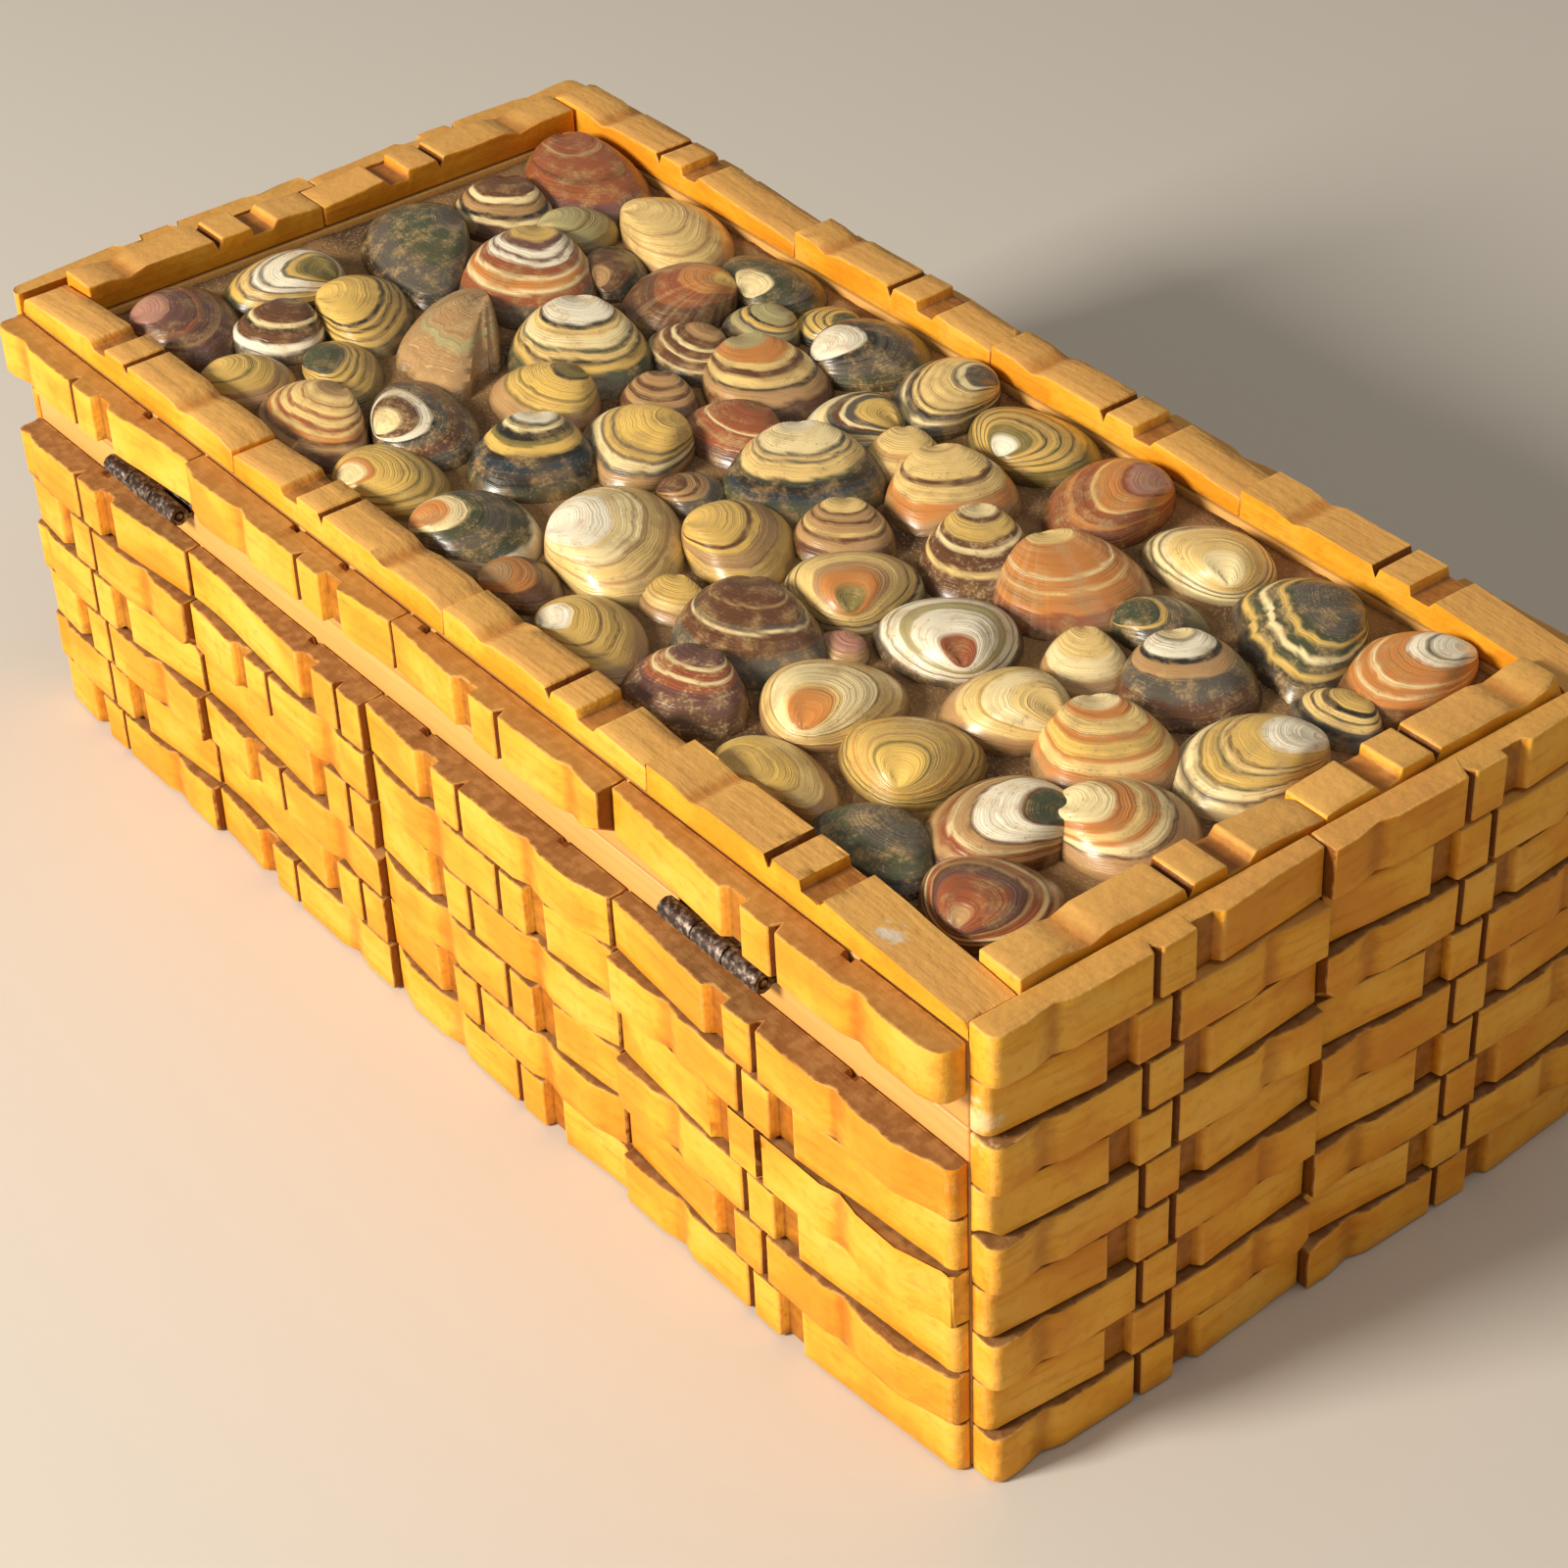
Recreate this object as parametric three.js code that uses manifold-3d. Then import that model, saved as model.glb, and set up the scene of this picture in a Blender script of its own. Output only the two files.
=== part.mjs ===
// A wooden trinket box with a hinged lid. Its walls are faced with tiles of split
// wood basket weave, and the lid's recessed top is set with real sea shells.
// Millimetres, +Z up. +Y is the hinge side, -X the near end, z = 0 the table.

import * as THREE from 'three';
import { mergeVertices } from 'three/addons/utils/BufferGeometryUtils.js';
import Module from 'manifold-3d';

const wasm = await Module();
wasm.setup();

// The plain wooden carcass that the tiles are glued to.
const LENGTH = 302;
const WIDTH = 144;
const GAP = 0.3;
const SEAM_Z = 76;
const BASE_WALL = 9;
const BASE_FLOOR = 5;
const LID_WALL = 10.5;
const FRAME_TOP = 93.7;
const PANEL_BOTTOM = 86;
const PANEL_TOP = 90.6;
const BED_THICKNESS = 1.5;

// The weave: one strand's face seen along its length, as [distance from the
// middle of the stake it passes over, thickness]. The tapering pad lies on the
// negative side, then the deep groove, the crest over the stake, a narrow groove
// and the long hump with a soft dip.
const STRAND_FACE = [
  [-160, 3.4],
  [-43.6, 3.4],
  [-9.8, 6.0],
  [-8.4, 4.4],
  [-4.0, 4.4],
  [-3.6, 6.4],
  [3.6, 6.4],
  [4.6, 4.2],
  [5.6, 6.4],
  [21.5, 6.4],
  [25.5, 5.3],
  [31, 6.3],
  [41, 6.4],
  [50, 4.0],
  [160, 4.0],
];

// Strands are [middle of the stake, direction of the hump]. A tile lists its
// odd rows first, counted from the top, then its even rows.
const BODY_SIDE = {
  bottom: 0,
  top: 69.5,
  rows: 6,
  joints: [-60, 17.5, 85],
  strands: [
    [[-98.3, -1], [-102.8, 1]],
    [[-10.8, -1], [-31.2, 1]],
    [[30.7, -1], [57.7, -1]],
    [[120.8, 1], [127.2, -1]],
  ],
};
const BODY_END = {
  bottom: 0,
  top: SEAM_Z - GAP / 2,
  rows: 7,
  joints: [0],
  strands: [
    [[-36.3, 1], [-33.8, -1]],
    [[35.5, 1], [37.8, -1]],
  ],
};
const LID_SIDE = {
  bottom: 83,
  top: 94.3,
  rows: 1,
  joints: [-62, 4.5, 77],
  strands: [[[-105, -1]], [[-27, -1]], [[30, 1]], [[115, 1]]],
};
const LID_END = {
  bottom: SEAM_Z + GAP / 2,
  top: 98.4,
  rows: 2,
  joints: [0],
  strands: [
    [[-36.3, 1], [-33.8, -1]],
    [[33.6, 1], [38.6, -1]],
  ],
};

// Single strands laid face up along the top of the lid's frame.
const RIM_WIDTH = 10.5;
const RIM_BACK = {
  joints: [-67.6, -6.1, 66.4],
  strands: [[-105.6, 1], [-43.6, 1], [39.4, -1], [111.9, -1]],
};
const RIM_FRONT = {
  joints: [-62.4, 0.1, 70.6],
  strands: [[-105.4, -1], [-26.4, -1], [37.6, -1], [109.6, -1]],
};
const RIM_END = {
  joints: [-4.5],
  strands: [[-25.5, -1], [21, 1]],
};

// Two small butt hinges let into the edges of the base and the lid.
const HINGE_Y = 74.4;
const HINGE_SPOTS = { near: -88.6, far: 100.4 };
const HINGE_LENGTH = 27;
const KNUCKLE_RADIUS = 2.1;
const KNUCKLE_ENDS = 9;
const BORE_RADIUS = 1.1;
const PIN_RADIUS = 0.8;
const LEAF_THICKNESS = 1;
const LEAF_INNER_EDGE = 64;
const HINGE_SIDES = 10;

// A shell valve: its foot and rise beside its width, and its profile from the
// bottom's middle to the top as [share of the radius, share of the rise].
const SHELL_FOOT = 1.07;
const SHELL_RISE = 0.29;
const SHELL_TALLEST = 7.7;
const SHELL_SIDES = 8;
const SHELL_PROFILE = [[0, 0], [1, 0], [0.7, 0.62], [0, 1]];
const BEAK_SHIFT = 0.2;
const SHELL_CUT = 0.45;
const SHELL_SPACE_TOP = 101;

// Shells on the lid: [x, y, length, width, turn of the long axis, direction of
// the beak], angles in degrees seen from above.
const SHELL_GROUPS = {
  shells_far_front: [
    [121, -49, 36, 24, -10, 315],
    [87, -49, 36, 21, -18, 0],
    [57, -51, 27, 18, 0, 80],
    [84, -31, 22, 13, -30, 270],
    [103, -35, 17, 17, 0, 270],
    [121, -28, 25, 20, 0, 315],
  ],
  shells_far_middle: [
    [93, -15, 36, 28, -20, 270],
    [119, -5, 42, 22, -25, 270],
  ],
  shells_far_back: [
    [80, 13, 46, 20, -38, 300],
    [104, 18, 31, 19, -25, 340],
    [125, 24, 26, 22, 90, 180],
    [108, 36, 20, 19, 0, 270],
    [87, 34, 24, 15, -20, 270],
    [123, 49, 30, 22, -20, 350],
    [95, 51, 19, 18, 0, 0],
    [73, 50, 32, 20, -10, 270],
  ],
  shells_right_front: [
    [64, -33, 26, 23, -60, 270],
    [46, -22, 22, 16, -10, 270],
    [27, -26, 28, 23, 0, 0],
  ],
  shells_right_middle: [
    [62, -6, 34, 27, -15, 300],
    [50, 10, 25, 19, 0, 0],
    [33, 25, 25, 24, 0, 315],
  ],
  shells_right_back: [
    [58, 34, 32, 20, -20, 270],
    [45, 50, 26, 20, 0, 60],
    [19, 48, 26, 23, 0, 270],
    [0, 51, 18, 14, 0, 270],
  ],
  shells_centre_front: [
    [44, -39, 18, 14, 0, 270],
    [36, -50, 16, 13, 0, 180],
    [21, -48, 24, 24, 0, 0],
    [-1, -49, 28, 20, -60, 300],
    [-26, -50, 29, 21, 0, 90],
    [3, -30, 19, 19, 0, 225],
    [-13, -29, 17, 15, -30, 270],
    [-51, -47, 30, 22, -65, 225],
  ],
  shells_centre_middle: [
    [36, -7, 17, 14, 0, 270],
    [15, -10, 24, 17, 0, 270],
    [-6, -10, 30, 30, 0, 270],
    [3, 9, 15, 13, 0, 270],
    [24, 7, 27, 21, -25, 270],
  ],
  shells_centre_back: [
    [-1, 30, 36, 25, -35, 330],
    [-23, 33, 16, 11, 0, 270],
  ],
  shells_left_front: [
    [-29, -27, 25, 24, 0, 0],
    [-49, -17, 28, 21, -35, 300],
  ],
  shells_left_middle: [
    [-66, 4, 27, 24, 0, 300],
  ],
  shells_left_back: [
    [-27, -3, 20, 18, 0, 300],
    [-42, 7, 24, 24, 0, 45],
    [-67, 32, 25, 25, 0, 70],
    [-55, 20, 12, 9, 0, 270],
    [-41, 30, 31, 24, 0, 270],
    [-23, 51, 28, 18, -12, 0],
    [-48, 49, 25, 20, 0, 270],
    [-16, 13, 27, 20, -30, 270],
  ],
  shells_near_front: [
    [-67, -23, 28, 28, 0, 270],
    [-78, -48, 26, 20, 0, 135],
    [-105, -43, 34, 24, -40, 230],
    [-126, -48, 27, 21, 90, 270],
    [-127, -31, 18, 12.5, 0, 270],
    [-87, -27, 19, 16, 0, 180],
    [-103, -18, 24, 24, 0, 0],
    [-87, -9, 19, 15, -30, 270],
  ],
  shells_near_middle: [
    [-89, 10, 23, 22, 0, 270],
    [-109, 6, 26, 24, 0, 270],
    [-127, -10, 28, 23, 90, 225],
  ],
  shells_near_back: [
    [-113, 33, 29, 23, 90, 180],
    [-127, 18, 26, 24, 0, 180],
    [-127, 47, 25, 22, 0, 90],
    [-104, 52, 26, 17, 0, 270],
    [-89, 32, 25, 23, 0, 124],
    [-77, 52, 27, 16, 0, 90],
  ],
};

const LOOKS = {
  wood: { color: '#c98f45', roughness: 0.5, metalness: 0 },
  weave: { color: '#dfa247', roughness: 0.45, metalness: 0 },
  bed: { color: '#b39a72', roughness: 0.9, metalness: 0 },
  shell: { color: '#cdb286', roughness: 0.4, metalness: 0 },
  hinge: { color: '#4b4139', roughness: 0.55, metalness: 0.8 },
};

// A closed three.js geometry as a manifold solid, ready to be joined or cut.
function toSolid(geometry) {
  const bare = geometry.clone();
  bare.deleteAttribute('normal');
  bare.deleteAttribute('uv');
  const merged = mergeVertices(bare);
  const corners = merged.index.array;
  const triVerts = [];
  for (let i = 0; i < corners.length; i += 3) {
    const [a, b, c] = [corners[i], corners[i + 1], corners[i + 2]];
    if (a !== b && b !== c && c !== a) {
      triVerts.push(a, b, c);
    }
  }
  const vertProperties = new Float32Array(merged.attributes.position.array);
  const mesh = new wasm.Mesh({ numProp: 3, vertProperties, triVerts: new Uint32Array(triVerts) });
  return new wasm.Manifold(mesh);
}

function toGeometry(solid) {
  const { vertProperties, triVerts } = solid.getMesh();
  const geometry = new THREE.BufferGeometry();
  geometry.setAttribute('position', new THREE.BufferAttribute(vertProperties, 3));
  geometry.setIndex(new THREE.BufferAttribute(triVerts, 1));
  geometry.computeVertexNormals();
  return geometry;
}

function join(solids) {
  return solids.reduce((joined, solid) => joined.add(solid));
}

function part(name, solid, look) {
  const mesh = new THREE.Mesh(toGeometry(solid), new THREE.MeshStandardMaterial(LOOKS[look]));
  mesh.name = name;
  return mesh;
}

function block([x0, x1], [y0, y1], [z0, z1]) {
  const geometry = new THREE.BoxGeometry(x1 - x0, y1 - y0, z1 - z0);
  geometry.translate((x0 + x1) / 2, (y0 + y1) / 2, (z0 + z1) / 2);
  return toSolid(geometry);
}

function centredBlock(length, width, heights) {
  return block([-length / 2, length / 2], [-width / 2, width / 2], heights);
}

// The thickness of a strand at a distance from its stake.
function strandThickness(along) {
  const next = STRAND_FACE.findIndex(([bend]) => bend >= along);
  const [x0, t0] = STRAND_FACE[next - 1];
  const [x1, t1] = STRAND_FACE[next];
  return t0 + ((t1 - t0) * (along - x0)) / (x1 - x0);
}

// A length of strand: its face outline drawn along x, extruded along z.
function strand(from, to, [stake, hump], width) {
  const bends = STRAND_FACE.map(([along]) => stake + hump * along);
  const inside = bends.filter((x) => x > from && x < to).sort((a, b) => a - b);
  const outline = new THREE.Shape();
  outline.moveTo(from, 0);
  for (const x of [from, ...inside, to]) {
    outline.lineTo(x, strandThickness(hump * (x - stake)));
  }
  outline.lineTo(to, 0);
  return new THREE.ExtrudeGeometry(outline, { depth: width, bevelEnabled: false });
}

// The stretches between a wall's joints, each short of its neighbours by a gap.
function stretches(wallLength, joints) {
  const ends = [-wallLength / 2, ...joints, wallLength / 2];
  return joints.concat(0).map((_, i) => [ends[i] + GAP / 2, ends[i + 1] - GAP / 2]);
}

// A woven tile: rows of strands stacked up, with every second row reversed.
function weaveTile([from, to], strands, { bottom, top, rows }) {
  const rowHeight = (top - bottom) / rows;
  const layers = [];
  for (let row = 0; row < rows; row += 1) {
    const layer = strand(from, to, strands[row % strands.length], rowHeight);
    layer.translate(0, 0, top - (row + 1) * rowHeight);
    layers.push(toSolid(layer));
  }
  return join(layers);
}

// A wall's tiles stand on the plane y = 0 of the wall's own group.
function addTiles(wall, name, wallLength, tiles) {
  stretches(wallLength, tiles.joints).forEach((stretch, i) => {
    wall.add(part(`${name}_${i + 1}`, weaveTile(stretch, tiles.strands[i], tiles), 'weave'));
  });
}

function addRimStrips(wall, name, wallLength, rim) {
  stretches(wallLength, rim.joints).forEach(([from, to], i) => {
    const strip = strand(from, to, rim.strands[i], RIM_WIDTH);
    strip.rotateX(Math.PI / 2);
    strip.translate(0, -GAP, FRAME_TOP + GAP);
    wall.add(part(`${name}_${i + 1}`, toSolid(strip), 'weave'));
  });
}

// A group for each wall, with x along the wall and y pointing outwards.
function makeWalls() {
  const walls = {};
  const facing = { back: 0, near_end: Math.PI / 2, front: Math.PI, far_end: -Math.PI / 2 };
  for (const [name, turn] of Object.entries(facing)) {
    const distance = name.endsWith('end') ? LENGTH / 2 : WIDTH / 2;
    walls[name] = new THREE.Group();
    walls[name].rotation.z = turn;
    walls[name].position.set(-Math.sin(turn) * distance, Math.cos(turn) * distance, 0);
  }
  return walls;
}

function hingePockets(solid, [z0, z1]) {
  const half = HINGE_LENGTH / 2 + GAP;
  return Object.values(HINGE_SPOTS).reduce((cut, x) => {
    const pocket = block([x - half, x + half], [LEAF_INNER_EDGE - GAP, WIDTH / 2], [z0, z1]);
    return cut.subtract(pocket);
  }, solid);
}

function makeBaseBox() {
  const top = SEAM_Z - GAP / 2;
  const outer = [LENGTH - 2 * GAP, WIDTH - 2 * GAP];
  const inner = outer.map((size) => size - 2 * BASE_WALL);
  const walls = centredBlock(...outer, [0, top]).subtract(centredBlock(...inner, [BASE_FLOOR, SEAM_Z]));
  return hingePockets(walls, [top - LEAF_THICKNESS - GAP, SEAM_Z]);
}

function makeLidFrame() {
  const bottom = SEAM_Z + GAP / 2;
  const outer = [LENGTH - 2 * GAP, WIDTH - 2 * GAP];
  const inner = outer.map((size) => size - 2 * LID_WALL);
  const frame = centredBlock(...outer, [bottom, FRAME_TOP])
    .subtract(centredBlock(...inner, [SEAM_Z, PANEL_BOTTOM]))
    .subtract(centredBlock(...inner, [PANEL_TOP, FRAME_TOP + GAP]));
  return hingePockets(frame, [SEAM_Z, bottom + LEAF_THICKNESS + GAP]);
}

function makeShellBed() {
  const inner = [LENGTH, WIDTH].map((size) => size - 2 * (LID_WALL + 2 * GAP));
  return centredBlock(...inner, [PANEL_TOP + GAP, PANEL_TOP + GAP + BED_THICKNESS]);
}

function rod(radius, from, to) {
  const geometry = new THREE.CylinderGeometry(radius, radius, to - from, HINGE_SIDES);
  geometry.rotateZ(Math.PI / 2);
  geometry.translate((from + to) / 2, HINGE_Y, SEAM_Z);
  return toSolid(geometry);
}

// A leaf: a plate in its pocket, and the knuckles with a neck to each.
function hingeLeaf(x, [z0, z1], knuckles) {
  const start = x - HINGE_LENGTH / 2;
  const plateEdge = WIDTH / 2 - GAP;
  const plate = block([start, start + HINGE_LENGTH], [LEAF_INNER_EDGE, plateEdge], [z0, z1]);
  const rolls = knuckles.map(([from, to]) => {
    const neck = block([start + from, start + to], [plateEdge - GAP, HINGE_Y], [z0, z1]);
    return rod(KNUCKLE_RADIUS, start + from, start + to).add(neck);
  });
  return join([plate, ...rolls]).subtract(rod(BORE_RADIUS, start - GAP, start + HINGE_LENGTH + GAP));
}

function addHinge(base, lid, place, x) {
  const low = SEAM_Z - GAP / 2;
  const high = SEAM_Z + GAP / 2;
  const ends = [[0, KNUCKLE_ENDS], [HINGE_LENGTH - KNUCKLE_ENDS, HINGE_LENGTH]];
  const middle = [[KNUCKLE_ENDS + GAP, HINGE_LENGTH - KNUCKLE_ENDS - GAP]];
  base.add(part(`hinge_base_leaf_${place}`, hingeLeaf(x, [low - LEAF_THICKNESS, low], ends), 'hinge'));
  base.add(part(`hinge_pin_${place}`, rod(PIN_RADIUS, x - HINGE_LENGTH / 2, x + HINGE_LENGTH / 2), 'hinge'));
  lid.add(part(`hinge_lid_leaf_${place}`, hingeLeaf(x, [high, high + LEAF_THICKNESS], middle), 'hinge'));
}

// One shell valve lying hollow side down: a low dome leaning towards its beak.
// A margin makes it larger all round.
function shellValve([x, y, length, width, turn, beak], margin) {
  const rise = Math.min(SHELL_RISE * width, SHELL_TALLEST);
  const points = SHELL_PROFILE.map(([radius, height]) => new THREE.Vector2(radius, height));
  const dome = new THREE.LatheGeometry(points, SHELL_SIDES);
  dome.rotateX(Math.PI / 2);
  dome.scale(
    (length * SHELL_FOOT) / 2 + margin,
    (width * SHELL_FOOT) / 2 + margin,
    rise + margin,
  );
  dome.rotateZ(THREE.MathUtils.degToRad(turn));
  const lean = (BEAK_SHIFT * width) / rise;
  const towards = THREE.MathUtils.degToRad(beak);
  const shear = new THREE.Matrix4();
  shear.elements[8] = lean * Math.cos(towards);
  shear.elements[9] = lean * Math.sin(towards);
  dome.applyMatrix4(shear);
  dome.translate(x, y, PANEL_TOP + BED_THICKNESS + 2 * GAP);
  return toSolid(dome);
}

// Touching shells are fused into groups, and each group is cut back from the
// shells of the groups before it. Slivers that a cut leaves over are dropped.
function addShells(lid) {
  const inner = [LENGTH, WIDTH].map((size) => size - 2 * (LID_WALL + 2 * GAP));
  const recess = centredBlock(...inner, [PANEL_TOP, SHELL_SPACE_TOP]);
  let taken = null;
  for (const [name, shells] of Object.entries(SHELL_GROUPS)) {
    const whole = join(shells.map((shell) => shellValve(shell, 0))).intersect(recess);
    const pieces = (taken ? whole.subtract(taken) : whole).decompose();
    const largest = pieces.reduce((a, b) => (b.volume() > a.volume() ? b : a));
    lid.add(part(name, largest, 'shell'));
    const grown = join(shells.map((shell) => shellValve(shell, SHELL_CUT)));
    taken = taken ? taken.add(grown) : grown;
  }
}

const base = new THREE.Group();
base.add(part('base_box', makeBaseBox(), 'wood'));
const bodyWalls = makeWalls();
for (const [name, wall] of Object.entries(bodyWalls)) {
  const isEnd = name.endsWith('end');
  addTiles(wall, `body_tile_${name}`, isEnd ? WIDTH : LENGTH, isEnd ? BODY_END : BODY_SIDE);
  base.add(wall);
}

const lid = new THREE.Group();
lid.add(part('lid_frame', makeLidFrame(), 'wood'));
lid.add(part('shell_bed', makeShellBed(), 'bed'));
const rims = { back: RIM_BACK, front: RIM_FRONT, near_end: RIM_END, far_end: RIM_END };
for (const [name, wall] of Object.entries(makeWalls())) {
  const isEnd = name.endsWith('end');
  const rimLength = isEnd ? WIDTH - 2 * (RIM_WIDTH + GAP) - GAP : LENGTH - GAP;
  addTiles(wall, `lid_tile_${name}`, isEnd ? WIDTH : LENGTH, isEnd ? LID_END : LID_SIDE);
  addRimStrips(wall, `rim_strip_${name}`, rimLength, rims[name]);
  lid.add(wall);
}
addShells(lid);

for (const [place, x] of Object.entries(HINGE_SPOTS)) {
  addHinge(base, lid, place, x);
}

const box = new THREE.Group();
box.add(base, lid);

export default box;
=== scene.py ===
import math
import random
from collections import namedtuple

import bmesh
import bpy
from mathutils import Matrix, Vector, noise


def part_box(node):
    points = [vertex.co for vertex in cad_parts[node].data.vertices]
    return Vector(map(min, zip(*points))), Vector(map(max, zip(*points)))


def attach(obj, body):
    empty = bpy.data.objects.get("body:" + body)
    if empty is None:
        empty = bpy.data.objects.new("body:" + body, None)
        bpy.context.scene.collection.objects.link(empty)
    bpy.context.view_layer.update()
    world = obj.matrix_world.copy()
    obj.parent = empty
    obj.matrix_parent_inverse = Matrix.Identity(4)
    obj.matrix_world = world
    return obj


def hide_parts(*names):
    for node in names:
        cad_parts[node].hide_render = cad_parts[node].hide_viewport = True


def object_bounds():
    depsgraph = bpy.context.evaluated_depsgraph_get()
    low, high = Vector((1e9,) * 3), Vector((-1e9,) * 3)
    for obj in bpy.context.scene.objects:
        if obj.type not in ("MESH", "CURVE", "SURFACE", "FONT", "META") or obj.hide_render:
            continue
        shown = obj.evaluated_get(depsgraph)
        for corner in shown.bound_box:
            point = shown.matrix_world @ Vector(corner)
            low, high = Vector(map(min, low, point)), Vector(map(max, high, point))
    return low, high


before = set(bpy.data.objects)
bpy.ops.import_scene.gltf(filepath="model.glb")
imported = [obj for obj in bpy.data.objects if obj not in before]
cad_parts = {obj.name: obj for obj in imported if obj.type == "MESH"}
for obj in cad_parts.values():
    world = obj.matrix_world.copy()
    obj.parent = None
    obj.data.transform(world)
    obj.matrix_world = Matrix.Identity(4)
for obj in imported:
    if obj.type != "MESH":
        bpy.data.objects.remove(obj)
cad_low, cad_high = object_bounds()

# ---------------------------------------------------------------------------
# Camera. A hand-held view down on the near corner of the hinged side, with
# the lens pulled in so that the box fills the picture.

CAMERA_PLACE = Vector((-0.4715, 0.3397, 0.4546))
CAMERA_AIM = Vector((0.64681, -0.47504, -0.59664))
CAMERA_ROLL = math.radians(-2.71)
CAMERA_LENS = 82.9
CAMERA_SENSOR = 36.0

camera = bpy.data.objects.new("camera", bpy.data.cameras.new("camera"))
camera.data.lens = CAMERA_LENS
camera.data.sensor_width = CAMERA_SENSOR
level = CAMERA_AIM.to_track_quat("-Z", "Y").to_matrix()
rolled = level @ Matrix.Rotation(CAMERA_ROLL, 3, "Z")
camera.matrix_world = Matrix.Translation(CAMERA_PLACE) @ rolled.to_4x4()
bpy.context.scene.collection.objects.link(camera)
bpy.context.scene.camera = camera

# ---------------------------------------------------------------------------
# Floor and light. A plain pale table, a warm lamp low on the hinged side, a
# faint broad fill from above and a warm room around.


class Wire:
    """One value that varies over a surface, used in formulas as a number is."""

    def __init__(self, finish, socket):
        self.finish = finish
        self.socket = socket

    def __add__(self, other):
        return self.finish.math("ADD", self, other)

    def __sub__(self, other):
        return self.finish.math("SUBTRACT", self, other)

    def __rsub__(self, other):
        return self.finish.math("SUBTRACT", other, self)

    def __mul__(self, other):
        return self.finish.math("MULTIPLY", self, other)

    __radd__ = __add__
    __rmul__ = __mul__


class Finish:
    """A surface finish: a material whose colour, gloss and relief are formulas."""

    def __init__(self, name):
        self.material = bpy.data.materials.new(name)
        self.material.use_nodes = True
        self.tree = self.material.node_tree
        self.shader = self.tree.nodes["Principled BSDF"]

    def node(self, kind, settings, values, out=0):
        made = self.tree.nodes.new(kind)
        for name, setting in settings.items():
            setattr(made, name, setting)
        for name, value in values.items():
            self.feed(made.inputs[name], value)
        return Wire(self, made.outputs[out])

    def feed(self, socket, value):
        if isinstance(value, Wire):
            self.tree.links.new(value.socket, socket)
        else:
            socket.default_value = value

    def math(self, operation, first, second):
        return self.node("ShaderNodeMath", {"operation": operation}, {0: first, 1: second})

    def step(self, value, low, high):
        """0 below low, 1 above high, and a soft ramp between."""
        values = {"Value": value, "From Min": low, "From Max": high}
        return self.node("ShaderNodeMapRange", {"interpolation_type": "SMOOTHSTEP"}, values)

    def mix(self, amount, first, second):
        values = {0: amount, 6: first, 7: second}
        return self.node("ShaderNodeMix", {"data_type": "RGBA"}, values, 2)

    def coats(self, tone, *layers):
        """Lays coats over a tone, each as (where it lies, how thickly, its colour)."""
        for mask, strength, colour in layers:
            tone = self.mix(mask * strength, tone, colour)
        return tone

    def place(self):
        return self.node("ShaderNodeTexCoord", {}, {}, "Object")

    def attribute(self, name, out="Fac"):
        return self.node("ShaderNodeAttribute", {"attribute_name": name}, {}, out)

    def part(self, vector, axis):
        return self.node("ShaderNodeSeparateXYZ", {}, {"Vector": vector}, axis)

    def noise(self, place, scale, detail, stretch=(1.0, 1.0, 1.0)):
        settings = {"operation": "MULTIPLY"}
        stretched = self.node("ShaderNodeVectorMath", settings, {0: place, 1: stretch})
        values = {"Vector": stretched, "Scale": scale, "Detail": detail}
        return self.node("ShaderNodeTexNoise", {}, values)

    def line_noise(self, place):
        values = {"W": place, "Scale": 1.0, "Detail": 2.0}
        return self.node("ShaderNodeTexNoise", {"noise_dimensions": "1D"}, values)

    def relief(self, height, distance, strength):
        values = {"Height": height, "Distance": distance, "Strength": strength}
        self.feed(self.shader.inputs["Normal"], self.node("ShaderNodeBump", {}, values))

    def set(self, **inputs):
        for name, value in inputs.items():
            self.feed(self.shader.inputs[name.replace("_", " ")], value)


def paint(red, green, blue):
    """A colour given as 0 to 255, turned into the light it reflects."""
    return tuple((part / 255.0) ** 2.2 for part in (red, green, blue)) + (1.0,)


FLOOR_SIZE = 6.0
FLOOR_COLOUR = paint(206, 201, 194)
ROOM_COLOUR = (1.0, 0.91, 0.78, 1.0)
ROOM_BRIGHTNESS = 0.27

floor_mesh = bmesh.new()
bmesh.ops.create_grid(floor_mesh, x_segments=1, y_segments=1, size=FLOOR_SIZE / 2)
floor = bpy.data.objects.new("floor", bpy.data.meshes.new("floor"))
floor_mesh.to_mesh(floor.data)
floor_mesh.free()
bpy.context.scene.collection.objects.link(floor)
floor_finish = Finish("pale table")
floor_finish.set(Base_Color=FLOOR_COLOUR, Roughness=0.7)
floor.data.materials.append(floor_finish.material)


def lamp(name, place, size, power, colour):
    """A square lamp that looks at the middle of the table."""
    light = bpy.data.lights.new(name, "AREA")
    light.size = size
    light.energy = power
    light.color = colour
    holder = bpy.data.objects.new(name, light)
    turn = (-Vector(place)).to_track_quat("-Z", "Y").to_matrix().to_4x4()
    holder.matrix_world = Matrix.Translation(Vector(place)) @ turn
    bpy.context.scene.collection.objects.link(holder)


lamp("low warm lamp", place=(0.25, 1.35, 0.75), size=0.4, power=36.0, colour=(1.0, 0.92, 0.8))
lamp("high fill", place=(-0.5, -0.3, 1.6), size=1.2, power=3.0, colour=(1.0, 0.95, 0.88))
room = bpy.data.worlds.new("room")
room.use_nodes = True
room.node_tree.nodes["Background"].inputs["Color"].default_value = ROOM_COLOUR
room.node_tree.nodes["Background"].inputs["Strength"].default_value = ROOM_BRIGHTNESS
bpy.context.scene.world = room
bpy.context.scene.view_settings.view_transform = "Standard"

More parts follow.
